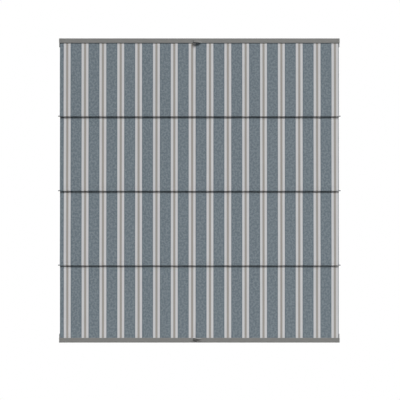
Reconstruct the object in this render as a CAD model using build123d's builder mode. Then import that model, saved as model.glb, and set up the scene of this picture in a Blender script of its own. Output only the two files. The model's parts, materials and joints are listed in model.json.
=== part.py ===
"""Roman blind for a window sash, held on two taut cords between the glazing beads.

Millimetres. +X is the viewer's right, -Y faces the room, +Z is up.
The origin is the middle of the opening's lower edge, halfway through the rails' depth.
"""
from build123d import *
from math import asin, atan2, cos, hypot, sin
import os

os.makedirs("parts", exist_ok=True)

# Opening between the glazing beads, which the blind fills
opening_width = 1207.6
height = 1309.3
side_clearance = 0.5

# Rails: one extruded section, used for the top and turned over for the bottom
rail_height = 20.5
rail_depth = 20
rail_front = -rail_depth / 2
rail_wall = 1.2
front_wall = 1.3
front_radius = 2.5
edge_radius = 0.8
rail_end = opening_width / 2 - side_clearance
rail_z = height - rail_height
cap_face_width = 7
profile_end = rail_end - cap_face_width

# Striped cloth
cloth_width = 1200
cloth = 0.8
cloth_front = -8.2
print_thickness = 0.2
stripe_pitch = 76.77
stripe_count = 16
stripe_shift = 7.3
white_width = 10.1
beige_width = 9.4

# Three fold lines, evenly spaced, each with a rod in a sewn tunnel
fold_spacing = 320.35
lowest_fold = 330.2
fold_heights = [lowest_fold + n * fold_spacing for n in range(3)]
rod_radius = 1.6
rod_above_fold = 3.3
rod_y = -9.35
rod_end = 605.5
rod_cap_start = cloth_width / 2 + 0.5
rod_cap_end = 607.5
rod_cap_radius = 2.2
tunnel_inner = 1.75
tunnel_outer = tunnel_inner + cloth
lip_open = 6
lip_seam = 10
layer_gap = 0.3

# Cloth groove in each rail: slot, chamber and the strip that the hem wraps
slot_front = cloth_front - 0.5
slot_back = -6.9
groove_back = -4.4
groove_top = 6.2
hem_back = groove_back - 0.2
hem_top = groove_top - 0.2
hem_low = 2.0
strip_length = 1190
strip_section = (1.6, 3.2)

# Taut cords and the rings that they run through
cord_radius = 0.6
cord_y = 0.4
ring_line = 430
ring_outer = 4.9
ring_inner = 2.6
ring_thickness = 2
bend = 3.5
nose_radius = bend - cord_radius
entry_y = 6.5
entry_rise = 7.0
guide_rise = {"left": 11.5, "right": 7.0}

# Tension shoes, one in each corner of the opening
shoe_inner = 597.9
shoe_outer = opening_width / 2
shoe_front = -1.5
shoe_back = 9.5
shoe_height = 36
shoe_taper = 13
shoe_tip = 2.4
shoe_cord_x = 599.9
screw_radius = 1.7
screw_head_radius = 3.3
screw_y = 1.9
screw_rise = 25.5
bead_radius = 1.7
bead_height = 3.6
bead_seat = 16.1

# Finger grips
grip_width = 34
grip_x = -8
grip_reach = 9
peg_radius = 1.5
peg_rise = 10.2
peg_spread = 10


def tangent_point(point, centre, radius, side):
    """Where the line from a point touches a circle, on the side given as +1 or -1."""
    dy, dz = centre[0] - point[0], centre[1] - point[1]
    away = hypot(dy, dz)
    turn = atan2(dz, dy) + side * asin(radius / away)
    reach = (away**2 - radius**2) ** 0.5
    return (point[0] + reach * cos(turn), point[1] + reach * sin(turn))


def save(builder, name):
    """Label a finished piece and write it under its own name."""
    builder.part.label = name
    export_step(builder.part, f"parts/{name}.step")


def save_four(builder, name):
    """Write a top right piece and its three mirrored copies, one for each corner."""
    save(builder, f"{name}_top_right")
    with BuildPart() as top_left:
        mirror(builder.part, about=Plane.YZ)
    save(top_left, f"{name}_top_left")
    with BuildPart() as bottom_right:
        mirror(builder.part, about=Plane.XY.offset(height / 2))
    save(bottom_right, f"{name}_bottom_right")
    with BuildPart() as bottom_left:
        mirror(top_left.part, about=Plane.XY.offset(height / 2))
    save(bottom_left, f"{name}_bottom_left")


def save_pair(builder, name):
    """Write a top piece and its copy turned over for the bottom."""
    save(builder, f"{name}_top")
    with BuildPart() as bottom:
        mirror(builder.part, about=Plane.XY.offset(height / 2))
    save(bottom, f"{name}_bottom")


def draw(*points):
    """Add the closed outline through these points to the sketch in hand."""
    Polygon(*points, align=None)


def draw_rail_outline():
    """The rail's outside, round where it faces the room and away from the cloth."""
    with BuildLine() as outline:
        FilletPolyline(
            (rail_front, rail_z),
            (-rail_front, rail_z),
            (-rail_front, height),
            (rail_front, height),
            radius=[edge_radius, edge_radius, edge_radius, front_radius],
            close=True,
        )
    make_face(outline.edges())


def cavity_points(gap):
    """The rail's L-shaped inner space for the cords, drawn in by a gap."""
    shelf = rail_z + groove_top + rail_wall + gap
    web = groove_back + rail_wall + gap
    front = rail_front + front_wall + gap
    back = -rail_front - rail_wall - gap
    low = rail_z + rail_wall + gap
    high = height - rail_wall - gap
    return [(front, shelf), (front, high), (back, high), (back, low), (web, low), (web, shelf)]


# Rail: extruded aluminium with a cloth groove at the front and a cord space behind it
with BuildPart() as rail:
    with BuildSketch(Plane.YZ):
        draw_rail_outline()
        Polygon(*cavity_points(0), align=None, mode=Mode.SUBTRACT)
        Polygon(
            (slot_front, rail_z - 1),
            (slot_back, rail_z - 1),
            (slot_back, rail_z + rail_wall),
            (groove_back, rail_z + rail_wall),
            (groove_back, rail_z + groove_top),
            (slot_front, rail_z + groove_top),
            align=None,
            mode=Mode.SUBTRACT,
        )
    extrude(amount=profile_end, both=True)
    with Locations(*[(side * ring_line, cord_y, rail_z) for side in (-1, 1)]):
        Cylinder(2.0, 4, mode=Mode.SUBTRACT)
    with Locations(*[(grip_x + side * peg_spread, rail_front, rail_z + peg_rise) for side in (-1, 1)]):
        Cylinder(peg_radius + 0.05, 4, rotation=(90, 0, 0), mode=Mode.SUBTRACT)
save_pair(rail, "rail")

# End cap: a face as wide as the opening in front, cut away behind so that it passes the shoe
nose_x = shoe_cord_x - bend
nose_z = rail_z + entry_rise + bend
cap_flange = 1.2
spigot_length = 12
window_half = 1.9
with BuildPart() as end_cap:
    with BuildSketch(Plane.YZ.offset(profile_end)):
        draw_rail_outline()
    extrude(amount=cap_flange)
    with BuildSketch(Plane.YZ.offset(profile_end)):
        draw_rail_outline()
        with Locations((shoe_front - 0.5 + rail_depth / 2, rail_z + rail_height / 2)):
            Rectangle(rail_depth, rail_height + 2, mode=Mode.SUBTRACT)
    extrude(amount=cap_face_width)
    with BuildSketch(Plane.YZ.offset(profile_end)):
        draw(*cavity_points(0.15))
    extrude(amount=-spigot_length)
    with Locations((profile_end - spigot_length / 2, entry_y, rail_z + entry_rise + 4.5)):
        Box(2 * spigot_length, 2 * window_half, 13, mode=Mode.SUBTRACT)
    with Locations((nose_x, entry_y, nose_z)):
        Cylinder(nose_radius, 2, rotation=(90, 0, 0))
        Cylinder(0.9, 2 * window_half + 0.4, rotation=(90, 0, 0))
    with BuildSketch(Plane.YZ.offset(profile_end)):
        draw(
            (slot_front, rail_z - 1),
            (groove_back, rail_z - 1),
            (groove_back, rail_z + groove_top),
            (slot_front, rail_z + groove_top),
        )
    extrude(amount=cloth_width / 2 + 0.5 - profile_end, mode=Mode.SUBTRACT)
save_four(end_cap, "end_cap")

# Cord guide: a post with a round head that turns the cord down through a collar
for side, x_sign in (("left", -1), ("right", 1)):
    head_z = rail_z + guide_rise[side] - bend
    head_x = x_sign * (ring_line - bend)
    with BuildPart() as guide:
        with BuildSketch(Plane.XY.offset(rail_z + rail_wall)):
            with Locations((x_sign * (ring_line - 2), 2.8)):
                RectangleRounded(20, 11.8, 1)
        extrude(amount=1.4)
        with Locations((head_x, cord_y, (rail_z + rail_wall + head_z) / 2)):
            Box(2 * nose_radius, 4, head_z - rail_z - rail_wall)
        with BuildSketch(Plane.XZ.offset(-cord_y)):
            with Locations((head_x, head_z)):
                Circle(nose_radius)
            with Locations((head_x, head_z - 2 * nose_radius)):
                Rectangle(4 * nose_radius, 4 * nose_radius, mode=Mode.SUBTRACT)
        extrude(amount=2, both=True)
        with Locations((x_sign * ring_line, cord_y, rail_z + 0.9)):
            Cylinder(1.8, 3.4)
            Cylinder(cord_radius + 0.3, 8, mode=Mode.SUBTRACT)
    save_pair(guide, f"cord_guide_{side}")

# Hem strip: a flat bar in the cloth's hem that is too wide to leave the rail's slot
with BuildPart() as hem_strip:
    strip_y = (cloth_front + cloth + hem_back - cloth) / 2
    with BuildSketch(Plane.YZ):
        with Locations((strip_y, rail_z + 3.3)):
            RectangleRounded(*strip_section, 0.5)
    extrude(amount=strip_length / 2, both=True)
save_pair(hem_strip, "hem_strip")

# Finger grip: a curved ledge on a plate, with two pegs that snap into the rail
with BuildPart() as grip:
    with BuildSketch(Plane.YZ.offset(grip_x)):
        with BuildLine():
            FilletPolyline(
                (rail_front, rail_z + 0.8),
                (rail_front - grip_reach, rail_z + 0.8),
                (rail_front - grip_reach, rail_z + 3.4),
                (rail_front - 1.6, rail_z + 4.2),
                (rail_front - 1.6, rail_z + 13),
                (rail_front, rail_z + 13),
                radius=[0, 1.1, 1.1, 2, 0.8, 0],
                close=True,
            )
        make_face()
    extrude(amount=grip_width / 2, both=True)
    with BuildSketch(Plane.XY.offset(rail_z)):
        with BuildLine():
            Line((grip_x - grip_width / 2, rail_front), (grip_x + grip_width / 2, rail_front))
            Line((grip_x + grip_width / 2, rail_front), (grip_x + grip_width / 2, rail_front - 2))
            ThreePointArc(
                (grip_x + grip_width / 2, rail_front - 2),
                (grip_x, rail_front - grip_reach),
                (grip_x - grip_width / 2, rail_front - 2),
            )
            Line((grip_x - grip_width / 2, rail_front - 2), (grip_x - grip_width / 2, rail_front))
        make_face()
    extrude(amount=rail_height, mode=Mode.INTERSECT)
    with Locations(*[(grip_x + side * peg_spread, rail_front + 1.2, rail_z + peg_rise) for side in (-1, 1)]):
        Cylinder(peg_radius, 2.4, rotation=(90, 0, 0))
save_pair(grip, "grip")

# Tension shoe: a moulded wedge screwed to the side bead, with a groove for the cord
with BuildPart() as shoe:
    with BuildSketch(Plane.XZ.offset(-shoe_back)):
        draw(
            (shoe_inner, height),
            (shoe_outer, height),
            (shoe_outer, height - shoe_height),
            (shoe_outer - shoe_tip, height - shoe_height),
            (shoe_inner, height - shoe_height + shoe_taper),
        )
    extrude(amount=shoe_back - shoe_front)
    fillet(shoe.edges().filter_by(Axis.Z).group_by(Axis.X)[0], 1)
    with Locations((shoe_inner, entry_y, height - 26)):
        Box(7.4, 3.4, 40, mode=Mode.SUBTRACT)
    with Locations((shoe_inner, entry_y, rail_z + bead_seat - 0.85)):
        Box(7.4, 3.4, 1.7)
        Box(5.6, 1.6, 4, mode=Mode.SUBTRACT)
    split(bisect_by=Plane.YZ.offset(shoe_inner), keep=Keep.TOP)
    with Locations((shoe_inner, entry_y, height)):
        Box(8.4, 4, 2 * (rail_height - bead_seat), mode=Mode.SUBTRACT)
    with Locations(Plane((shoe_inner + 1.4, screw_y, height - screw_rise), z_dir=(-1, 0, 0))):
        CounterSinkHole(screw_radius, screw_head_radius, depth=12)
save_four(shoe, "shoe")

# Cord anchor: a crimped bead that hooks the cord's end into the shoe
with BuildPart() as anchor:
    with Locations((shoe_cord_x, entry_y, rail_z + bead_seat + bead_height / 2)):
        Cylinder(bead_radius, bead_height)
        Cylinder(cord_radius, bead_height, mode=Mode.SUBTRACT)
    fillet(anchor.edges().filter_by(GeomType.CIRCLE).sort_by(Axis.Z)[-1], 0.4)
save_four(anchor, "cord_anchor")

# Cords: each runs from a shoe through both rails, crossing the other inside them
for name, guide_side, x_sign in (("cord_left", "right", 1), ("cord_right", "left", -1)):
    entry_x = -x_sign * shoe_cord_x
    exit_x = x_sign * ring_line
    low_rise = guide_rise[guide_side]
    upper = [
        (entry_x, entry_y, rail_z + bead_seat + bead_height),
        (entry_x, entry_y, rail_z + entry_rise),
        (exit_x, cord_y, rail_z + low_rise),
    ]
    lower = [(x, y, height - z) for x, y, z in reversed(upper)]
    with BuildPart() as cord:
        with BuildLine():
            route = FilletPolyline(*upper, *lower, radius=bend)
        with BuildSketch(Plane(route @ 0, z_dir=route % 0)):
            Circle(cord_radius)
        sweep()
    save(cord, name)

# Cloth section: where each panel starts behind a fold and ends in front of the next
seam_heights = [fold + rod_above_fold + lip_seam for fold in fold_heights]
panel_back = cloth_front + 2 * cloth + layer_gap
panel_tops = [*seam_heights, rail_z]
panel_bottoms = [rail_height, *seam_heights]


def lip_flank(rod_z):
    """The lip's front, from where it leaves the cloth's plane to where it meets the rod's curve."""
    start = (cloth_front, rod_z + lip_open)
    return start, tangent_point(start, (rod_y, rod_z), tunnel_outer, -1)


def draw_lip(rod_z):
    """A sewn tunnel: a double layer below the seam that opens round the rod."""
    seam = rod_z + lip_seam
    double = cloth_front + 2 * cloth
    start, touch = lip_flank(rod_z)
    with BuildLine() as outline:
        Line(touch, start)
        Line(start, (cloth_front, seam))
        Line((cloth_front, seam), (panel_back, seam))
        ThreePointArc(
            (panel_back, seam),
            (panel_back + 0.7 * cloth, seam - 0.3 * cloth),
            (panel_back + cloth, seam - cloth),
        )
        Line((panel_back + cloth, seam - cloth), (double, seam - cloth))
        Line((double, seam - cloth), (double, rod_z + lip_open))
        Line((double, rod_z + lip_open), (rod_y + tunnel_outer, rod_z))
        ThreePointArc((rod_y + tunnel_outer, rod_z), (rod_y, rod_z - tunnel_outer), touch)
    make_face(outline.edges())


def draw_tunnel(rod_z):
    """The space in the tunnel that the rod slides into."""
    tip = (cloth_front + cloth, rod_z + lip_open - 1)
    centre = (rod_y, rod_z)
    front = tangent_point(tip, centre, tunnel_inner, -1)
    back = tangent_point(tip, centre, tunnel_inner, 1)
    with BuildLine() as outline:
        Line(tip, front)
        ThreePointArc(front, (rod_y, rod_z - tunnel_inner), back)
        Line(back, tip)
    make_face(outline.edges(), mode=Mode.SUBTRACT)


def draw_hem(z_of):
    """The cloth's end, folded over the hem strip inside a rail's groove."""
    draw(
        (cloth_front, z_of(0)),
        (cloth_front, z_of(hem_top)),
        (hem_back, z_of(hem_top)),
        (hem_back, z_of(hem_low)),
        (hem_back - cloth, z_of(hem_low)),
        (hem_back - cloth, z_of(hem_top - cloth)),
        (cloth_front + cloth, z_of(hem_top - cloth)),
        (cloth_front + cloth, z_of(0)),
    )


# Cloth: one woven sheet, with a hem at each end and a tunnel at each fold
with BuildPart() as fabric:
    with BuildSketch(Plane.YZ):
        for low, high in zip(panel_bottoms, panel_tops):
            top_y = cloth_front if high == rail_z else panel_back
            top_z = high if high == rail_z else high - cloth
            draw((cloth_front, low), (top_y, top_z), (top_y + cloth, top_z), (cloth_front + cloth, low))
        for fold in fold_heights:
            draw_lip(fold + rod_above_fold)
        for fold in fold_heights:
            draw_tunnel(fold + rod_above_fold)
        draw_hem(lambda rise: rail_z + rise)
        draw_hem(lambda rise: rail_height - rise)
    extrude(amount=cloth_width / 2, both=True)
save(fabric, "fabric")


def draw_print():
    """The front faces that carry the stripes: four panels and the flanks of three lips."""
    starts = [rail_height + 0.2, *[seam - lip_seam + lip_open for seam in seam_heights]]
    ends = [*[seam - 1.5 * cloth - tunnel_outer - lip_seam for seam in seam_heights], rail_z - 0.2]
    for n, (low, high) in enumerate(zip(starts, ends)):
        bottom = panel_bottoms[n]
        lean = 0 if n == 3 else (panel_back - cloth_front) / (panel_tops[n] - cloth - bottom)
        turn = max(low, bottom)
        if low < turn:
            draw(
                (cloth_front, low),
                (cloth_front, turn),
                (cloth_front - print_thickness, turn),
                (cloth_front - print_thickness, low),
            )
        y_high = cloth_front + lean * (high - bottom)
        draw(
            (cloth_front + lean * (turn - bottom), turn),
            (y_high, high),
            (y_high - print_thickness, high),
            (cloth_front + lean * (turn - bottom) - print_thickness, turn),
        )
    for fold in fold_heights:
        (y1, z1), (y2, z2) = lip_flank(fold + rod_above_fold)
        run = hypot(y2 - y1, z2 - z1)
        out_y, out_z = print_thickness * (z2 - z1) / run, -print_thickness * (y2 - y1) / run
        draw((y1, z1), (y2, z2), (y2 + out_y, z2 + out_z), (y1 + out_y, z1 + out_z))


def stripe_starts(offset):
    """The left edges of one stripe of every band, counted from the band's middle."""
    first = stripe_shift - (stripe_count - 1) / 2 * stripe_pitch
    return [first + n * stripe_pitch + offset for n in range(stripe_count)]


# Stripes: fields of colour on the cloth's front, white on each side of a beige one
with BuildPart() as stripes_white:
    for x in stripe_starts(-beige_width / 2 - white_width) + stripe_starts(beige_width / 2):
        with BuildSketch(Plane.YZ.offset(x)):
            draw_print()
        extrude(amount=white_width)
save(stripes_white, "stripes_white")

with BuildPart() as stripes_beige:
    for x in stripe_starts(-beige_width / 2):
        with BuildSketch(Plane.YZ.offset(x)):
            draw_print()
        extrude(amount=beige_width)
save(stripes_beige, "stripes_beige")

# Fold rods, each with a cap on both ends and two rings sewn behind the cloth
for fold_name, fold in zip(("lower", "middle", "upper"), fold_heights):
    rod_z = fold + rod_above_fold
    with BuildPart() as rod:
        with Locations((0, rod_y, rod_z)):
            Cylinder(rod_radius, 2 * rod_end, rotation=(0, 90, 0))
    save(rod, f"rod_{fold_name}")
    for side, x_sign in (("left", -1), ("right", 1)):
        with BuildPart() as rod_cap:
            with BuildSketch(Plane((x_sign * rod_cap_start, rod_y, rod_z), z_dir=(x_sign, 0, 0))):
                Circle(rod_cap_radius)
            extrude(amount=rod_cap_end - rod_cap_start)
            fillet(rod_cap.edges().sort_by(Axis.X)[-1 if x_sign > 0 else 0], 0.8)
            with BuildSketch(Plane((x_sign * rod_cap_start, rod_y, rod_z), z_dir=(x_sign, 0, 0))):
                Circle(rod_radius + 0.02)
            extrude(amount=rod_end - rod_cap_start, mode=Mode.SUBTRACT)
        save(rod_cap, f"rod_cap_{fold_name}_{side}")
        seam = rod_z + lip_seam
        tab_front = panel_back + cloth
        with BuildPart() as ring:
            with BuildSketch(Plane.XY.offset(seam - cloth - 4 - ring_thickness / 2)):
                with Locations((x_sign * ring_line, cord_y)):
                    Circle(ring_outer)
                with Locations((x_sign * ring_line, tab_front + 1)):
                    Rectangle(4, 2)
            extrude(amount=ring_thickness)
            with BuildSketch(Plane.XZ.offset(-tab_front)):
                with Locations((x_sign * ring_line, seam - cloth - 4)):
                    RectangleRounded(10, 7, 1.5)
            extrude(amount=-1.2)
            with Locations((x_sign * ring_line, cord_y, seam - 5)):
                Cylinder(ring_inner, 10, mode=Mode.SUBTRACT)
        save(ring, f"cord_ring_{fold_name}_{side}")
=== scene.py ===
import json
import math

import bpy
import numpy as np
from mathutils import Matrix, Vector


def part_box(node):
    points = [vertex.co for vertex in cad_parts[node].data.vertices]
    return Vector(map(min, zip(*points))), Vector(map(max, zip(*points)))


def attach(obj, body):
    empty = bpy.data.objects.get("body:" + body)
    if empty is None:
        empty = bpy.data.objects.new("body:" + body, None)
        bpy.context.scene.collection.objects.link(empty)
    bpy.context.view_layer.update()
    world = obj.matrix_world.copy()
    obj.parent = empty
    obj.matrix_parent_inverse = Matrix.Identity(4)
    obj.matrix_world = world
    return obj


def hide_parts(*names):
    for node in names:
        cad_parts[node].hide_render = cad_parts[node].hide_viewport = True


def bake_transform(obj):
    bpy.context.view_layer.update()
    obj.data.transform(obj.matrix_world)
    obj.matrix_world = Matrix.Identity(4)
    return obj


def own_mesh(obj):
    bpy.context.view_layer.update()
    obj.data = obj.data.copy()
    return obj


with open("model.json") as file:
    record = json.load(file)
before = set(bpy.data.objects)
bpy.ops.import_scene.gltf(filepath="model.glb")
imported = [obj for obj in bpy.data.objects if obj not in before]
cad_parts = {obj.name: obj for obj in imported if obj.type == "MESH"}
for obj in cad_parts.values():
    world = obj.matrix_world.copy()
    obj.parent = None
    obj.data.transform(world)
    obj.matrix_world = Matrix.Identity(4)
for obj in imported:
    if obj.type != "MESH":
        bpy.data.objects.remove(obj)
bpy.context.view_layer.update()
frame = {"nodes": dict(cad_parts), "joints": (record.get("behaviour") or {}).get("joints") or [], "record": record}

MM = 0.001

# Camera: straight in front and level with the middle of the window, as the photograph was
# taken. One pixel of the 400 across is 4.3 mm at the blind's front.
picture_width = 400
pixel = 4.3 * MM
view_distance = 3.4
middle_column = 199.35
sill_row = 342.7
rail_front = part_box("rail_top")[0][1]
camera_data = bpy.data.cameras.new("camera")
camera_data.sensor_width = 36
camera_data.lens = camera_data.sensor_width * view_distance / (picture_width * pixel)
camera = bpy.data.objects.new("camera", camera_data)
camera.location = (
    (picture_width / 2 - middle_column) * pixel,
    rail_front - view_distance,
    (sill_row - picture_width / 2) * pixel,
)
camera.rotation_euler = (math.pi / 2, 0, 0)
bpy.context.scene.collection.objects.link(camera)
bpy.context.scene.camera = camera

# Cloth: one heathered polyester weave, 1.2 m wide and about 1.4 m long before it was sewn.
# Each fold is a pleat, stitched across so that it makes a tunnel for a rod. The colours are
# yarn-dyed, so the stripes run through to the back. Each layer here is a place along Y.
cloth_thickness = 0.8 * MM
cloth_low, cloth_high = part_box("fabric")
cloth_width = cloth_high[0] - cloth_low[0]
rail_layer = -7.8 * MM
pleat_layer = -11.5 * MM
inner_layer = -10.7 * MM
turned_layer = -9.6 * MM
back_layer = -5.9 * MM
lip_open = 8.5 * MM
lip_seam = 18 * MM
upright = 9 * MM
tunnel_radius = 2.15 * MM
rail_top_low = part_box("rail_top")[0][2]
rail_bottom_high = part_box("rail_bottom")[1][2]


def rod_centre(name):
    """The middle of a rod's section, as (y, z)."""
    low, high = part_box(f"rod_{name}")
    return (low[1] + high[1]) / 2, (low[2] + high[2]) / 2


fold_names = ["lower", "middle", "upper"]
fold_bodies = {"lower": "lower_fold", "middle": "window_fixings", "upper": "upper_fold"}
rod_centres = {name: rod_centre(name) for name in fold_names}
seams = {name: rod_centres[name][1] + lip_seam for name in fold_names}
knees = {name: rod_centres[name][1] - upright for name in fold_names}


def even_path(points, step, softness=0.0):
    """Points at an even step along a polyline, by its arc length.

    With a softness, each point becomes the mean of the path over that length, which rounds
    the corners as thick cloth does, while both ends stay where they are.
    """
    points = np.asarray(points, float)
    runs = np.linalg.norm(np.diff(points, axis=0), axis=1)
    along = np.concatenate([[0], np.cumsum(runs)])
    count = max(int(round(along[-1] / step)), 1) + 1
    wanted = np.linspace(0, along[-1], count)
    offsets = np.linspace(-softness / 2, softness / 2, 9) if softness else np.zeros(1)
    reach = np.minimum(1, np.minimum(wanted, along[-1] - wanted) / (softness / 2 + 1e-9))
    sampled = wanted[:, None] + offsets[None, :] * reach[:, None]
    mean = [np.interp(sampled, along, column).mean(axis=1) for column in points.T]
    return np.stack(mean, axis=1), wanted


def new_piece(name, points, faces, body=None):
    """A smooth mesh piece whose points are in the frame, riding on a body where one is given."""
    mesh = bpy.data.meshes.new(name)
    mesh.from_pydata(points.tolist(), [], faces.tolist())
    mesh.shade_smooth()
    piece = bpy.data.objects.new(name, mesh)
    bpy.context.scene.collection.objects.link(piece)
    if body:
        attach(piece, body)
    return piece


def grid_faces(rows, columns, closed=False):
    """Quads between neighbours; a closed grid also joins its last column to its first."""
    row = np.arange(rows - 1)[:, None] * columns
    last = columns if closed else columns - 1
    column = np.arange(last)[None, :]
    right = (column + 1) % columns
    corners = [row + column, row + right, row + columns + right, row + columns + column]
    return np.stack(corners, axis=-1).reshape(-1, 4)


def lay_uv(piece, across, along):
    """Give the mesh a UV map in metres of flat cloth or cord: across it, and along it."""
    layer = piece.data.uv_layers.new(name="flat")
    corner_points = np.zeros(len(piece.data.loops), np.int64)
    piece.data.loops.foreach_get("vertex_index", corner_points)
    flat = np.stack([across.ravel(), along.ravel()], axis=1)[corner_points]
    layer.data.foreach_set("uv", flat.astype(np.float32).ravel())


def cloth_strip(name, path, along, body, columns, billow=None):
    """A strip of cloth: a path (y, z) carried along X, with its thickness on both sides.

    The grid's rows follow the path and its columns run across the width, so point (i, j) is
    (x_j, y_i + billow(x_j, z_i), z_i). UV is x and the developed length from the lower hem.
    """
    x = np.linspace(-cloth_width / 2, cloth_width / 2, columns)
    y = np.repeat(path[:, :1], columns, axis=1)
    z = np.repeat(path[:, 1:], columns, axis=1)
    across = np.repeat(x[None, :], len(path), axis=0)
    if billow is not None:
        y = y + billow(across, z)
    points = np.stack([across, y, z], axis=-1).reshape(-1, 3)
    piece = new_piece(name, points, grid_faces(len(path), columns), body)
    lay_uv(piece, across, np.repeat(along[:, None], columns, axis=1))
    wall = piece.modifiers.new("thickness", "SOLIDIFY")
    wall.thickness = cloth_thickness
    wall.offset = 0
    wall.use_even_offset = True
    piece.modifiers.new("crisp_edges", "EDGE_SPLIT").split_angle = math.radians(60)
    piece.data.materials.append(blind_cloth)
    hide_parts("fabric", "stripes_white", "stripes_beige")
    return piece


def srgb(code):
    """A hex colour as linear light: ((c + 0.055) / 1.055) to the power 2.4, or c / 12.92."""
    channels = [int(code[i : i + 2], 16) / 255 for i in (1, 3, 5)]
    linear = [c / 12.92 if c <= 0.04045 else ((c + 0.055) / 1.055) ** 2.4 for c in channels]
    return (*linear, 1.0)


def add_node(tree, kind, settings=None, inputs=None):
    """Add a node, set its settings, and set each input to a value or link it to a socket."""
    made = tree.nodes.new(kind)
    for key, value in (settings or {}).items():
        setattr(made, key, value)
    for key, value in (inputs or {}).items():
        if isinstance(value, bpy.types.NodeSocket):
            tree.links.new(value, made.inputs[key])
        else:
            made.inputs[key].default_value = value
    return made


def new_material(name, roughness, specular=0.5):
    """A material of one shader, and its node tree and shader."""
    material = bpy.data.materials.new(name)
    material.use_nodes = True
    shader = material.node_tree.nodes["Principled BSDF"]
    shader.inputs["Roughness"].default_value = roughness
    shader.inputs["Specular IOR Level"].default_value = specular
    return material, material.node_tree, shader


def math_node(tree, operation, first, second=0.0):
    """One arithmetic step between two values or sockets."""
    inputs = {0: first, 1: second}
    return add_node(tree, "ShaderNodeMath", {"operation": operation}, inputs).outputs[0]


def soft_step(tree, value, edge, width):
    """A smooth rise from 0 to 1 as the value passes the edge."""
    return add_node(
        tree,
        "ShaderNodeMapRange",
        {"interpolation_type": "SMOOTHSTEP"},
        {"Value": value, "From Min": edge - width / 2, "From Max": edge + width / 2},
    ).outputs["Result"]


def mixed(tree, factor, first, second):
    """A blend of two colours, which are the mix node's sockets 6 and 7."""
    inputs = {"Factor": factor, 6: first, 7: second}
    return add_node(tree, "ShaderNodeMix", {"data_type": "RGBA"}, inputs).outputs[2]


def flat_place(tree):
    """The place on the flat cloth or cord in millimetres, as a vector and split into x and y."""
    flat = add_node(tree, "ShaderNodeUVMap", {"uv_map": "flat"})
    inputs = {0: flat.outputs["UV"], "Scale": 1 / MM}
    in_mm = add_node(tree, "ShaderNodeVectorMath", {"operation": "SCALE"}, inputs).outputs[0]
    split = add_node(tree, "ShaderNodeSeparateXYZ", {}, {0: in_mm})
    return in_mm, split.outputs["X"], split.outputs["Y"]


def emboss(tree, shader, height, strength, distance):
    """Tilt the shader's normal by the slope of a height that spans this distance."""
    inputs = {"Height": height, "Strength": strength, "Distance": distance}
    bump = add_node(tree, "ShaderNodeBump", {}, inputs)
    tree.links.new(bump.outputs["Normal"], shader.inputs["Normal"])


# Heathered blind cloth: dyed polyester yarns in a plain weave, 0.6 mm apart. It is dull and
# slightly fuzzy. Slub yarns give it a mottle a few millimetres long, and the two warp ends
# beside each white stripe are a darker blue. Stripe sizes are in millimetres, and half, outer
# and edge are distances from the middle of a beige stripe.
yarn_blue_light = "#7e898f"
yarn_blue_dark = "#5a656e"
yarn_edge = "#5f6a73"
yarn_white = "#c6c6c8"
yarn_beige = "#99958f"
stripe_pitch = 76.77
stripe_shift = 7.3
beige_half = 4.7
white_outer = 14.8
edge_outer = 17.6
edge_wander = 0.9
yarn_spacing = 0.6
weft_share = 0.42
warp_share = 0.22
edge_share = 0.75
mottle_height = 1.5
blind_cloth, cloth_tree, shader = new_material("heathered_polyester_weave", 0.92, 0.25)
shader.inputs["Sheen Weight"].default_value = 0.12
shader.inputs["Sheen Roughness"].default_value = 0.5
cloth_mm, cloth_x, cloth_y = flat_place(cloth_tree)


def yarn_noise(across, along, seed, detail=2.0):
    """Noise with features of this size, in millimetres, across and along the cloth."""
    sizes = {0: cloth_mm, 1: (1 / across, 1 / along, 1)}
    vector = add_node(cloth_tree, "ShaderNodeVectorMath", {"operation": "MULTIPLY"}, sizes)
    return add_node(
        cloth_tree,
        "ShaderNodeTexNoise",
        {"noise_dimensions": "4D"},
        {
            "Vector": vector.outputs[0],
            "W": seed,
            "Scale": 1.0,
            "Detail": detail,
            "Roughness": 0.6,
        },
    ).outputs["Fac"]


def cloth_math(operation, first, second=0.0):
    """One arithmetic step in the cloth's node tree."""
    return math_node(cloth_tree, operation, first, second)


wander = cloth_math("SUBTRACT", yarn_noise(9, 4, seed=1.0), 0.5)
wandering_x = cloth_math("ADD", cloth_x, cloth_math("MULTIPLY", wander, edge_wander))
from_middle = cloth_math("SUBTRACT", wandering_x, stripe_shift + stripe_pitch / 2)
from_beige = cloth_math("PINGPONG", from_middle, stripe_pitch / 2)


def within(distance, blur):
    """1 within this distance of a beige stripe's middle, and 0 beyond it."""
    return cloth_math("SUBTRACT", 1.0, soft_step(cloth_tree, from_beige, distance, blur))


blue_dark, blue_light = srgb(yarn_blue_dark), srgb(yarn_blue_light)
mottle = soft_step(cloth_tree, yarn_noise(8.5, 9, seed=2.0, detail=1.0), edge=0.5, width=0.22)
weft_slub = soft_step(cloth_tree, yarn_noise(11, 1.6, seed=3.0), edge=0.5, width=0.5)
warp_slub = soft_step(cloth_tree, yarn_noise(1.4, 34, seed=4.0), edge=0.5, width=0.5)
weft_blue = mixed(cloth_tree, weft_slub, blue_dark, blue_light)
warp_blue = mixed(cloth_tree, warp_slub, blue_dark, blue_light)
colour = mixed(cloth_tree, mottle, blue_dark, blue_light)
colour = mixed(cloth_tree, weft_share, colour, weft_blue)
colour = mixed(cloth_tree, warp_share, colour, warp_blue)
edge_line = cloth_math("MULTIPLY", within(edge_outer, 1.6), edge_share)
colour = mixed(cloth_tree, edge_line, colour, srgb(yarn_edge))
colour = mixed(cloth_tree, within(white_outer, 1.2), colour, srgb(yarn_white))
colour = mixed(cloth_tree, within(beige_half, 2.4), colour, srgb(yarn_beige))
yarn_shade = add_node(
    cloth_tree,
    "ShaderNodeMapRange",
    {},
    {
        "Value": yarn_noise(2.2, 2.2, seed=5.0),
        "From Min": 0.3,
        "From Max": 0.7,
        "To Min": 0.95,
        "To Max": 1.05,
    },
)
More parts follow.
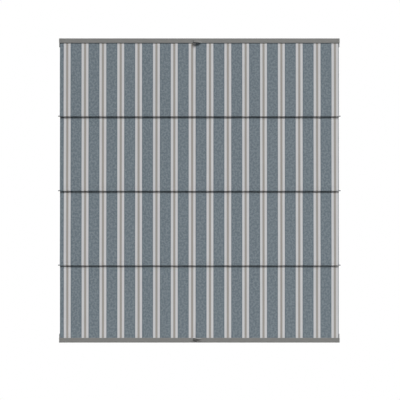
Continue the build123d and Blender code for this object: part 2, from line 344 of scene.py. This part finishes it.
shaded = add_node(
    cloth_tree,
    "ShaderNodeVectorMath",
    {"operation": "SCALE"},
    {0: colour, "Scale": yarn_shade.outputs["Result"]},
)
cloth_tree.links.new(shaded.outputs[0], shader.inputs["Base Color"])
warp_wave = cloth_math("SINE", cloth_math("MULTIPLY", cloth_x, 2 * math.pi / yarn_spacing))
weft_wave = cloth_math("SINE", cloth_math("MULTIPLY", cloth_y, 2 * math.pi / yarn_spacing))
weave = cloth_math("MULTIPLY", warp_wave, weft_wave)
weave = cloth_math("ADD", weave, cloth_math("MULTIPLY", mottle, mottle_height))
emboss(cloth_tree, shader, weave, strength=0.35, distance=0.12 * MM)

# The cloth from the lower hem up: each panel hangs from behind a fold and drifts forward to
# become the front of the next one down. Each panel rides on one body, and the doubled
# cloth at each fold and hem keeps its shape.
panel_step = 8 * MM
panel_columns = 300
fold_step = 0.8 * MM
fold_columns = 200
wave_height = 0.3 * MM
wave_length = 430 * MM
ripple_height = 0.2 * MM
ripple_length = 190 * MM
pucker_height = 0.07 * MM
pucker_pitch = 24 * MM
pucker_drift = 310 * MM
pucker_start = 4 * MM
pucker_reach = 14 * MM
hem_top = 6.0 * MM
hem_low = 2.0 * MM
hem_back = -5.0 * MM
hem_softness = 1.0 * MM
fold_softness = 1.6 * MM
turn_drop = 0.95 * MM


def hang(low, high, sewn):
    """How a panel leaves its plane: slow waves across it, and puckers above a sewn low end.

    All are sines of x. Waves are largest halfway up, and a pucker falls off exponentially
    with its height above the seam.
    """

    def billow(x, z):
        up = (z - low) / (high - low)
        turn = 2 * np.pi * x
        wave = wave_height * np.sin(turn / wave_length + 0.7)
        ripple = ripple_height * np.sin(turn / ripple_length + 2.1 + 2 * up)
        drift = 1.5 * np.sin(turn / pucker_drift)
        pucker = pucker_height * np.sin(turn / pucker_pitch + drift)
        fade = np.exp(-(z - low) / pucker_reach) * np.clip((z - low) / pucker_start, 0, 1)
        return (wave + ripple) * np.sin(np.pi * up) + sewn * pucker * fade

    return billow


def hem_points(base, sign):
    """A hem's middle line (y, z): into the rail's slot, back over the strip and down behind."""
    top = base + sign * (hem_top - cloth_thickness / 2)
    low = base + sign * hem_low
    return [(rail_layer, base), (rail_layer, top), (hem_back, top), (hem_back, low)]


def fold_points(name):
    """A fold's middle line (y, z): up behind the rod, over the seam, round the rod and up.

    The turn over the seam is a half circle, and the nose is part of a circle about the rod.
    The inner layer leaves its plane at a point whose distance d from the rod gives the
    tangent's turn, asin(radius / d), from the line between them.
    """
    rod, seam = rod_centres[name], seams[name]
    turn_radius = (turned_layer - inner_layer) / 2
    turn = np.linspace(0, np.pi, 7)
    over_y = turned_layer - turn_radius * (1 - np.cos(turn))
    over_z = seam - turn_drop + turn_radius * np.sin(turn)
    parting = (inner_layer, rod[1] + lip_open)
    away = math.hypot(rod[0] - parting[0], rod[1] - parting[1])
    slope = math.atan2(rod[1] - parting[1], rod[0] - parting[0]) + math.asin(tunnel_radius / away)
    nose = np.linspace(slope + math.pi / 2, -math.pi, 25)
    nose_y = rod[0] + tunnel_radius * np.cos(nose)
    nose_z = rod[1] + tunnel_radius * np.sin(nose)
    behind = [(back_layer, rod[1] - upright), (back_layer, rod[1] + upright)]
    over = np.stack([over_y, over_z], axis=1)
    around = np.stack([nose_y, nose_z], axis=1)
    return np.concatenate([behind, over, [parting], around, [(pleat_layer, seam)]])


travel = {joint["name"]: max(joint["range_m"]) for joint in frame["joints"]}
coupling = {row["joint"]: row["ratio"] for row in frame["record"]["behaviour"]["couplings"]}
upper_travel = travel["top_rail_slide"] * coupling["upper_fold_slide"]
lower_travel = travel["bottom_rail_slide"] * coupling["lower_fold_slide"]
panels = {
    "bottom": ("lower_fold", "bottom_rail_slide", travel["bottom_rail_slide"] - lower_travel),
    "low": ("window_fixings", "bottom_rail_slide", lower_travel),
    "high": ("window_fixings", "top_rail_slide", upper_travel),
    "top": ("upper_fold", "top_rail_slide", travel["top_rail_slide"] - upper_travel),
}


def hang_panel(name, low, high, start):
    """A panel between two ends (y, z), riding on its body.

    The cloth's developed length is given at its low end and returned at its high end.
    """
    body, joint, taken_in = panels[name]
    path, along = even_path([low, high], panel_step)
    billow = hang(low[1], high[1], sewn=low[0] == pleat_layer)
    panel = cloth_strip(f"cloth_panel_{name}", path, start + along, body, panel_columns, billow)
    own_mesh(panel)
    return start + along[-1]


def sew(name, points, body, softness, start):
    """A hem or a fold, which keeps its shape. Lengths are given and returned as for a panel."""
    path, along = even_path(points, fold_step, softness)
    cloth_strip(name, path, start + along, body, fold_columns)
    return start + along[-1]


def sew_fold(name, start):
    """A fold round its rod."""
    body = fold_bodies[name]
    return sew(f"cloth_fold_{name}", fold_points(name), body, fold_softness, start)


bottom_hem = hem_points(rail_bottom_high, -1)[::-1]
sewn_in = {name: (pleat_layer, seams[name]) for name in fold_names}
hung_from = {name: (back_layer, knees[name]) for name in fold_names}
developed = sew("cloth_hem_bottom", bottom_hem, "bottom_rail", hem_softness, 0.0)
developed = hang_panel(
    "bottom", (rail_layer, rail_bottom_high), hung_from["lower"], developed
)
developed = sew_fold("lower", developed)
developed = hang_panel(
    "low", sewn_in["lower"], hung_from["middle"], developed
)
developed = sew_fold("middle", developed)
developed = hang_panel(
    "high", sewn_in["middle"], hung_from["upper"], developed
)
developed = sew_fold("upper", developed)
developed = hang_panel(
    "top", sewn_in["upper"], (rail_layer, rail_top_low), developed
)
sew("cloth_hem_top", hem_points(rail_top_low, 1), "top_rail", hem_softness, developed)

# Seams: a lockstitch across each fold in polyester thread, one stitch every 3.2 mm, sunk a
# little into the cloth.
stitch_pitch = 3.2 * MM
stitch_length = 2.5 * MM
thread_radius = 0.13 * MM
stitch_drop = 1.6 * MM
stitch_arch = 0.05 * MM
stitch_stations = 5
stitch_sides = 6
thread, tree, shader = new_material("polyester_sewing_thread", 0.6, 0.4)
shader.inputs["Base Color"].default_value = srgb("#828b91")
shader.inputs["Sheen Weight"].default_value = 0.2
place = add_node(tree, "ShaderNodeTexCoord")
thread_ply = add_node(
    tree,
    "ShaderNodeTexWave",
    {"wave_type": "BANDS", "bands_direction": "DIAGONAL"},
    {"Vector": place.outputs["Object"], "Scale": 900.0},
)
emboss(tree, shader, thread_ply.outputs["Fac"], strength=0.5, distance=0.05 * MM)

count = int(cloth_width / stitch_pitch) - 1
starts = (np.arange(count)[:, None, None] - (count - 1) / 2) * stitch_pitch
station = np.linspace(-1, 1, stitch_stations)[None, :, None]
turn = np.arange(stitch_sides) * 2 * np.pi / stitch_sides
swell = thread_radius * np.sqrt(np.clip(1.04 - station**2, 0.05, 1))
stitch_x = starts + station * stitch_length / 2
stitch_y = pleat_layer - cloth_thickness / 2 - stitch_arch * (1 - station**2)
stitch_y = stitch_y + swell * np.cos(turn)
stitch_z = -stitch_drop + swell * np.sin(turn)
one = grid_faces(stitch_stations, stitch_sides, closed=True)
per_stitch = stitch_stations * stitch_sides
faces = (one[None] + np.arange(count)[:, None, None] * per_stitch).reshape(-1, 4)
for fold in fold_names:
    stitches = np.broadcast_arrays(stitch_x, stitch_y, seams[fold] + stitch_z)
    points = np.stack(stitches, axis=-1).reshape(-1, 3)
    seam = new_piece(f"seam_{fold}", points, faces, fold_bodies[fold])
    seam.data.materials.append(thread)

# Rails: extruded aluminium with a warm grey powder coat, which is satin with a fine orange
# peel about 0.8 mm across.
powder_coat, tree, shader = new_material("powder_coated_aluminium", 0.42)


def object_noise(tree, scale, detail):
    """Noise on the piece's own coordinates, with about this many features in a metre."""
    place = add_node(tree, "ShaderNodeTexCoord")
    inputs = {"Vector": place.outputs["Object"], "Scale": scale, "Detail": detail}
    return add_node(tree, "ShaderNodeTexNoise", {}, inputs).outputs["Fac"]


def dress(material, *names):
    """Give CAD nodes this finish."""
    for name in names:
        node = frame["nodes"][name]
        if not node.material_slots:
            node.data.materials.append(material)
        for place_in_node in node.material_slots:
            place_in_node.material = material


shade = object_noise(tree, scale=40.0, detail=4.0)
tone = mixed(tree, shade, srgb("#727270"), srgb("#7a7a78"))
tree.links.new(tone, shader.inputs["Base Color"])
peel = object_noise(tree, scale=1 / (0.8 * MM), detail=3.0)
emboss(tree, shader, peel, strength=0.25, distance=0.03 * MM)
dress(powder_coat, "rail_top", "rail_bottom")

# Grips: moulded plastic in the rails' colour. The same mould finish, in other colours, does
# for the end caps, shoes, rod caps, rings, guides, hem strips and beads.
finish_grey = "#767674"
mottle_spread = 0.06
sides = ("left", "right")
levels = ("top", "bottom")
corners = [f"{level}_{side}" for level in levels for side in sides]


def moulded(name, code, roughness, grain):
    """A moulded plastic: one colour, a faint mottle, and a spark grain of this size in mm."""
    material, tree, shader = new_material(name, roughness)
    dark = tuple((1 - mottle_spread) * c for c in srgb(code)[:3]) + (1.0,)
    light = tuple((1 + mottle_spread) * c for c in srgb(code)[:3]) + (1.0,)
    tone = mixed(tree, object_noise(tree, scale=90.0, detail=3.0), dark, light)
    tree.links.new(tone, shader.inputs["Base Color"])
    grains = object_noise(tree, scale=1 / (grain * MM), detail=2.0)
    emboss(tree, shader, grains, strength=0.3, distance=0.04 * MM)
    return material


dress(moulded("moulded_abs_warm_grey", finish_grey, 0.48, 0.5), "grip_top", "grip_bottom")

# End caps: the same plastic, with a fine painted shade line, near black, where each meets the
# rail's cut end, 596.3 mm from the middle. It stands in for the shadow in the joint's gap.
shade_line_width = 0.45 * MM
shade_line_blur = 0.2 * MM
capped_abs = moulded("moulded_abs_end_cap", finish_grey, 0.48, 0.5)
tree = capped_abs.node_tree
shader = tree.nodes["Principled BSDF"]
joint_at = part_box("rail_top")[1][0]
place = add_node(tree, "ShaderNodeTexCoord")
split = add_node(tree, "ShaderNodeSeparateXYZ", {}, {0: place.outputs["Object"]})
outward = math_node(tree, "ABSOLUTE", split.outputs["X"])
clear = soft_step(tree, outward, joint_at + shade_line_width, shade_line_blur)
plain = shader.inputs["Base Color"].links[0].from_socket
# Painted shade: the cap's colour turns near black within the shade line's width beyond the joint.
tree.links.new(mixed(tree, clear, srgb("#2c2c2b"), plain), shader.inputs["Base Color"])
dress(capped_abs, *[f"end_cap_{corner}" for corner in corners])

# Tension shoes: moulded nylon wedges, screwed to the beads. Darker than the rails.
moulded_nylon = moulded("moulded_grey_nylon", "#6a6a69", 0.5, 0.4)
dress(moulded_nylon, *[f"shoe_{corner}" for corner in corners])

# Rods: pultruded glass fibre, pale, with fine fibres along it that show as streaks 50 mm long
# and 0.25 mm wide.
glass_fibre, tree, shader = new_material("pultruded_glass_fibre", 0.3)
streaks_per_metre = (20, 4000, 4000)
place = add_node(tree, "ShaderNodeTexCoord")
inputs = {0: place.outputs["Object"], 1: streaks_per_metre}
drawn = add_node(tree, "ShaderNodeVectorMath", {"operation": "MULTIPLY"}, inputs)
inputs = {"Vector": drawn.outputs[0], "Scale": 1.0, "Detail": 3.0}
streaks = add_node(tree, "ShaderNodeTexNoise", {}, inputs)
tone = mixed(tree, streaks.outputs["Fac"], srgb("#d2d0c4"), srgb("#ecebe2"))
tree.links.new(tone, shader.inputs["Base Color"])
shader.inputs["Coat Weight"].default_value = 0.2
dress(glass_fibre, *[f"rod_{fold}" for fold in fold_names])

# Rod caps: soft moulded PVC cups pushed over the rods' ends.
soft_pvc = moulded("moulded_soft_pvc", "#737577", 0.55, 0.4)
dress(soft_pvc, *[f"rod_cap_{fold}_{side}" for fold in fold_names for side in sides])

# Rings and guides: natural nylon, waxy and slightly translucent.
natural_nylon = moulded("moulded_natural_nylon", "#dcdbd6", 0.38, 0.6)
shader = natural_nylon.node_tree.nodes["Principled BSDF"]
shader.inputs["Subsurface Weight"].default_value = 0.15
shader.inputs["Subsurface Radius"].default_value = (1.2 * MM, 1.1 * MM, 1.0 * MM)
shader.inputs["Subsurface Scale"].default_value = 1.0
dress(natural_nylon, *[f"cord_ring_{fold}_{side}" for fold in fold_names for side in sides])
dress(natural_nylon, *[f"cord_guide_{side}_{level}" for side in sides for level in levels])

# Hem strips and cord anchors: plain extruded and crimped plastic, hidden in use.
extruded_strip = moulded("extruded_polystyrene", "#e4e3df", 0.35, 1.2)
dress(extruded_strip, "hem_strip_top", "hem_strip_bottom")
crimped_bead = moulded("crimped_acetal_bead", "#bcbcba", 0.4, 0.5)
dress(crimped_bead, *[f"cord_anchor_{corner}" for corner in corners])

# Cords: braided polyester 1.2 mm thick, held taut between the shoes. Each comes down from a
# shoe, turns round the end cap's nose, crosses inside the rail and goes down behind the
# cloth, through the rings, to the same path in the other rail.
cord_radius = 0.6 * MM
cord_sides = 10
cord_stations = 24
bend = 3.5 * MM
shoe_cord_x = 599.9 * MM
entry_y = 6.5 * MM
entry_rise = 7.0 * MM
cord_y = 0.4 * MM
ring_line = 430 * MM
guide_rise = {"left": 11.5 * MM, "right": 7.0 * MM}
bead_top = 19.7 * MM
guide_exit = 2.0 * MM
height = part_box("rail_top")[1][2]
strand_pitch = 1.6
strands_each_way = 4
braid, tree, shader = new_material("braided_polyester_cord", 0.75, 0.3)
shader.inputs["Sheen Weight"].default_value = 0.1
_, braid_x, braid_y = flat_place(tree)
around = math_node(tree, "MULTIPLY", braid_x, strands_each_way * MM / cord_radius)
along_braid = math_node(tree, "MULTIPLY", braid_y, 2 * math.pi / strand_pitch)
one_way = math_node(tree, "SINE", math_node(tree, "ADD", around, along_braid))
other_way = math_node(tree, "SINE", math_node(tree, "SUBTRACT", around, along_braid))
crossing = math_node(tree, "MAXIMUM", one_way, other_way)
# Painted shade: the hollows between raised strands are painted darker, on top of the bump.
raised = soft_step(tree, crossing, edge=0.2, width=1.4)
tone = mixed(tree, raised, srgb("#8b9093"), srgb("#b9bcbd"))
tree.links.new(tone, shader.inputs["Base Color"])
emboss(tree, shader, crossing, strength=0.6, distance=0.1 * MM)


def cord_stretch(name, path, start, body=None):
    """A tube along a path: at each of its points, a ring of points square to the path.

    The ring's directions are the path's normal to world Y and their cross product, so the
    tube never twists where the path stays near the XZ plane. The cord's length is given at
    the path's first point and returned at its last.
    """
    path = np.asarray(path, float)
    tangent = np.gradient(path, axis=0)
    tangent /= np.linalg.norm(tangent, axis=1)[:, None]
    side = np.cross(tangent, [0.0, 1.0, 0.0])
    side /= np.linalg.norm(side, axis=1)[:, None]
    other = np.cross(tangent, side)
    turn = np.arange(cord_sides + 1) * 2 * np.pi / cord_sides
    ring = np.cos(turn)[:, None] * side[:, None] + np.sin(turn)[:, None] * other[:, None]
    points = path[:, None] + cord_radius * ring
    steps = np.linalg.norm(np.diff(path, axis=0), axis=1)
    along = start + np.concatenate([[0], np.cumsum(steps)])
    faces = grid_faces(len(path), cord_sides + 1)[:, ::-1]
    piece = new_piece(name, points.reshape(-1, 3), faces, body)
    across = np.repeat((turn * cord_radius)[None], len(path), axis=0)
    lay_uv(piece, across, np.repeat(along[:, None], cord_sides + 1, axis=1))
    piece.data.materials.append(braid)
    return piece, along[-1]


def in_rail_path(level, x_sign, guide_side):
    """A cord's path through one rail, from beside the shoe to below the guide.

    Quarter circles about the end cap's nose and the guide's head are joined by one straight
    run, along which y changes evenly. The bottom rail's path is the top one's, turned over.
    """
    quarter = np.linspace(0, np.pi / 2, 9)
    ahead, risen = x_sign * bend * np.sin(quarter), bend * np.cos(quarter)
    nose_x = -x_sign * shoe_cord_x + x_sign * bend
    nose_z = rail_top_low + entry_rise + bend
    head_x = x_sign * (ring_line - bend)
    head_z = rail_top_low + guide_rise[guide_side] - bend
    around_nose = np.stack([nose_x - ahead[::-1], nose_z - risen[::-1]], axis=1)
    around_head = np.stack([head_x + ahead, head_z + risen], axis=1)
    middle = np.linspace(around_nose[-1], around_head[0], 12)[1:-1]
    end = [(x_sign * ring_line, rail_top_low - guide_exit)]
    flat_path = np.concatenate([around_nose, middle, around_head, end])
    share = np.clip((flat_path[:, 0] - nose_x) / (head_x - nose_x), 0, 1)
    y = entry_y + share * (cord_y - entry_y)
    z = flat_path[:, 1] if level == "top" else height - flat_path[:, 1]
    return np.stack([flat_path[:, 0], y, z], axis=1)


middle_height = rod_centres["middle"][1]
anchor_rise = {"top": rail_top_low + bead_top, "bottom": height - rail_top_low - bead_top}
for cord_name, guide_side, x_sign in (("cord_left", "right", 1), ("cord_right", "left", -1)):
    for level in levels:
        rail, joint = f"{level}_rail", f"{level}_rail_slide"
        in_rail = in_rail_path(level, x_sign, guide_side)
        anchor = (in_rail[0][0], entry_y, anchor_rise[level])
        beside = np.linspace(anchor, in_rail[0], cord_stations)
        piece, length = cord_stretch(f"{cord_name}_side_{level}", beside, 0.0)
        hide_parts(cord_name)
        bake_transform(piece)
        piece, length = cord_stretch(f"{cord_name}_rail_{level}", in_rail, length, rail)
        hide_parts(cord_name)
        held = (x_sign * ring_line, cord_y, middle_height)
        hanging = np.linspace(in_rail[-1], held, cord_stations)
        name = f"{cord_name}_hang_{level}"
        piece, length = cord_stretch(name, hanging, length, "window_fixings")
        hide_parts(cord_name)
        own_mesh(piece)

# Studio: a pale floor well below the blind, a soft sun high in front on the right, and a weak
# lamp beside it. The surround lights from behind more than from in front, and the camera and
# gloss see it as white.
floor_height = -1.6
floor_radius = 1.5
floor_sides = 96
turn = np.arange(floor_sides) * 2 * np.pi / floor_sides
rim_z = np.full(floor_sides, floor_height)
rim = np.stack([floor_radius * np.cos(turn), floor_radius * np.sin(turn), rim_z], axis=1)
floor_mesh = bpy.data.meshes.new("floor")
floor_mesh.from_pydata(rim.tolist(), [], [list(range(floor_sides))])
floor = bpy.data.objects.new("floor", floor_mesh)
bpy.context.scene.collection.objects.link(floor)
matt_card, _, shader = new_material("matt_pale_card", 0.9, 0.2)
shader.inputs["Base Color"].default_value = srgb("#e6e6e4")
floor_mesh.materials.append(matt_card)

fill_place = np.array([2.0, -1.4, 1.5])
towards = np.array([0, 0, height / 2]) - fill_place
fill_data = bpy.data.lights.new("side_fill", "AREA")
fill_data.size = 1.0
fill_data.energy = 4
fill = bpy.data.objects.new("side_fill", fill_data)
fill.location = fill_place
tilt = math.acos(-towards[2] / np.linalg.norm(towards))
fill.rotation_euler = (tilt, 0, math.atan2(towards[1], towards[0]) - math.pi / 2)
bpy.context.scene.collection.objects.link(fill)

key_data = bpy.data.lights.new("key", "SUN")
key_data.energy = 5.4
key_data.angle = math.radians(16)
key = bpy.data.objects.new("key", key_data)
key.rotation_euler = (math.radians(44.7), 0, math.radians(54.1))
bpy.context.scene.collection.objects.link(key)

world = bpy.data.worlds.new("pale_surround")
world.use_nodes = True
tree = world.node_tree
tree.nodes.clear()
rays = add_node(tree, "ShaderNodeLightPath").outputs
seen = math_node(tree, "MAXIMUM", rays["Is Camera Ray"], rays["Is Glossy Ray"])
seen = math_node(tree, "MAXIMUM", seen, rays["Is Transmission Ray"])
direction = add_node(tree, "ShaderNodeTexCoord")
split = add_node(tree, "ShaderNodeSeparateXYZ", {}, {0: direction.outputs["Generated"]})
strength = add_node(
    tree,
    "ShaderNodeMapRange",
    {"interpolation_type": "SMOOTHSTEP"},
    {
        "Value": split.outputs["Y"],
        "From Min": 0.0,
        "From Max": 0.6,
        "To Min": 0.15,
        "To Max": 0.75,
    },
).outputs["Result"]
colour = srgb("#ffffff")
light = add_node(tree, "ShaderNodeBackground", {}, {"Color": colour, "Strength": strength})
white = add_node(tree, "ShaderNodeBackground", {}, {"Color": colour, "Strength": 1.0})
inputs = {0: seen, 1: light.outputs[0], 2: white.outputs[0]}
either = add_node(tree, "ShaderNodeMixShader", {}, inputs)
add_node(tree, "ShaderNodeOutputWorld", {}, {"Surface": either.outputs[0]})
bpy.context.scene.world = world
bpy.context.scene.view_settings.view_transform = "Standard"
